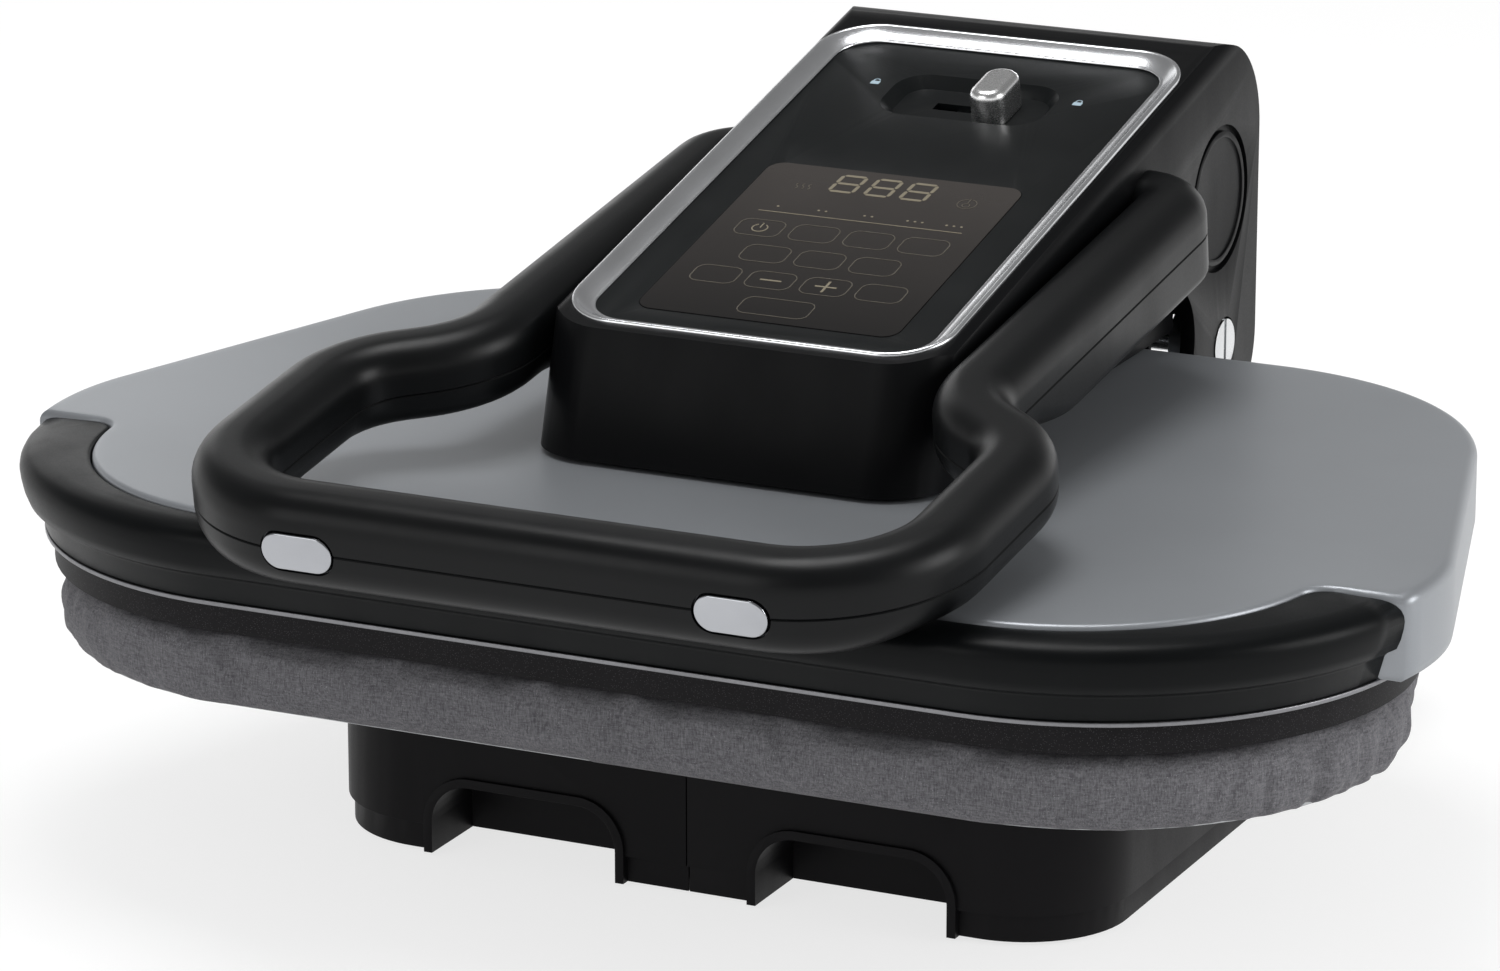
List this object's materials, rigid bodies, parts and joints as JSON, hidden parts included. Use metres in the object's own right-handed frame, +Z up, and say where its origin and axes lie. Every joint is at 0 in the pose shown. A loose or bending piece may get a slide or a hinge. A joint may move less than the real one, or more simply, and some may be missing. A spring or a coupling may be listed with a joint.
{
  "type": "table-top steam ironing press",
  "caption": "Steam ironing press with a padded board on a black base, a wide hinged heated plate, a sloping control panel and a loop handle with push buttons.",
  "frame": {"origin": "middle of the bounding box on the table plane under the rubber feet", "axes": "+X to the operator's right along the hinge, +Y to the back, +Z up"},
  "size_m": [0.638, 0.5696, 0.3033],
  "materials": {
    "base_black": "satin",
    "base_floor_black": "matte",
    "foot_rubber": "matte",
    "screw_steel": "zinc plated",
    "tray_metal": "galvanised look",
    "foam": "felted foam",
    "board_cloth": "heather weave",
    "bracket_steel": "satin",
    "axle_steel": "ground",
    "pivot_chrome": "satin",
    "spring_steel": "oiled",
    "cover_grey": "satin",
    "rim_black": "satin",
    "shield_grey": "satin",
    "sole_dark": "non-stick, fine sparkle",
    "chamber_cast": "as cast",
    "heater_steel": "heat tinted",
    "head_black": "satin",
    "floor_black": "matte",
    "bush_brass": "sintered",
    "disc_black": "satin",
    "bezel_chrome": "satin",
    "panel_black": "satin gloss",
    "display_dark": "smoked gloss",
    "board_green": "solder mask",
    "tank_clear": "translucent",
    "pump_white": "matte",
    "handle_black": "satin",
    "handle_black_low": "satin",
    "switch_black": "matte",
    "knob_chrome": "satin",
    "slide_steel": "satin",
    "button_chrome": "satin"
  },
  "bodies": {
    "base": {"base_left": "base_black", "base_right": "base_black", "base_floor": "base_floor_black", "base_feet": "foot_rubber", "base_screws": "screw_steel", "board_tray": "tray_metal", "board_foam": "foam", "board_cover": "board_cloth", "hinge_bracket": "bracket_steel", "bracket_bolts": "screw_steel", "hinge_axle": "axle_steel", "pivot_screws": "pivot_chrome", "lift_spring": "spring_steel"},
    "head": {"plate_cover": "cover_grey", "plate_rim": "rim_black", "heat_shield": "shield_grey", "sole_plate": "sole_dark", "steam_chamber": "chamber_cast", "heater_tube": "heater_steel", "head_shell": "head_black", "head_floor": "floor_black", "hinge_bushes": "bush_brass", "side_discs": "disc_black", "bezel": "bezel_chrome", "panel": "panel_black", "display_glass": "display_dark", "circuit_board": "board_green", "water_tank": "tank_clear", "steam_pump": "pump_white", "handle_upper": "handle_black", "handle_lower": "handle_black_low", "handle_screws": "screw_steel", "button_switches": "switch_black"},
    "lock": {"lock_knob": "knob_chrome", "lock_slide": "slide_steel"},
    "left_button": {"button_left": "button_chrome"},
    "right_button": {"button_right": "button_chrome"}
  },
  "joints": [
    {"name": "head_hinge", "type": "hinge", "parent": "base", "child": "head", "pos_m": [0, 0.24585, 0.162], "axis": [-1, 0, 0], "range_deg": [0, 55]},
    {"name": "lock_slide", "type": "slide", "parent": "head", "child": "lock", "axis": [-1, 0, 0], "range_m": [0, 0.026]},
    {"name": "left_button_push", "type": "slide", "parent": "head", "child": "left_button", "axis": [0, 0.9848, 0.1736], "range_m": [0, 0.0025], "stiffness_N_per_m": 600},
    {"name": "right_button_push", "type": "slide", "parent": "head", "child": "right_button", "axis": [0, 0.9848, 0.1736], "range_m": [0, 0.0025], "stiffness_N_per_m": 600}
  ]
}
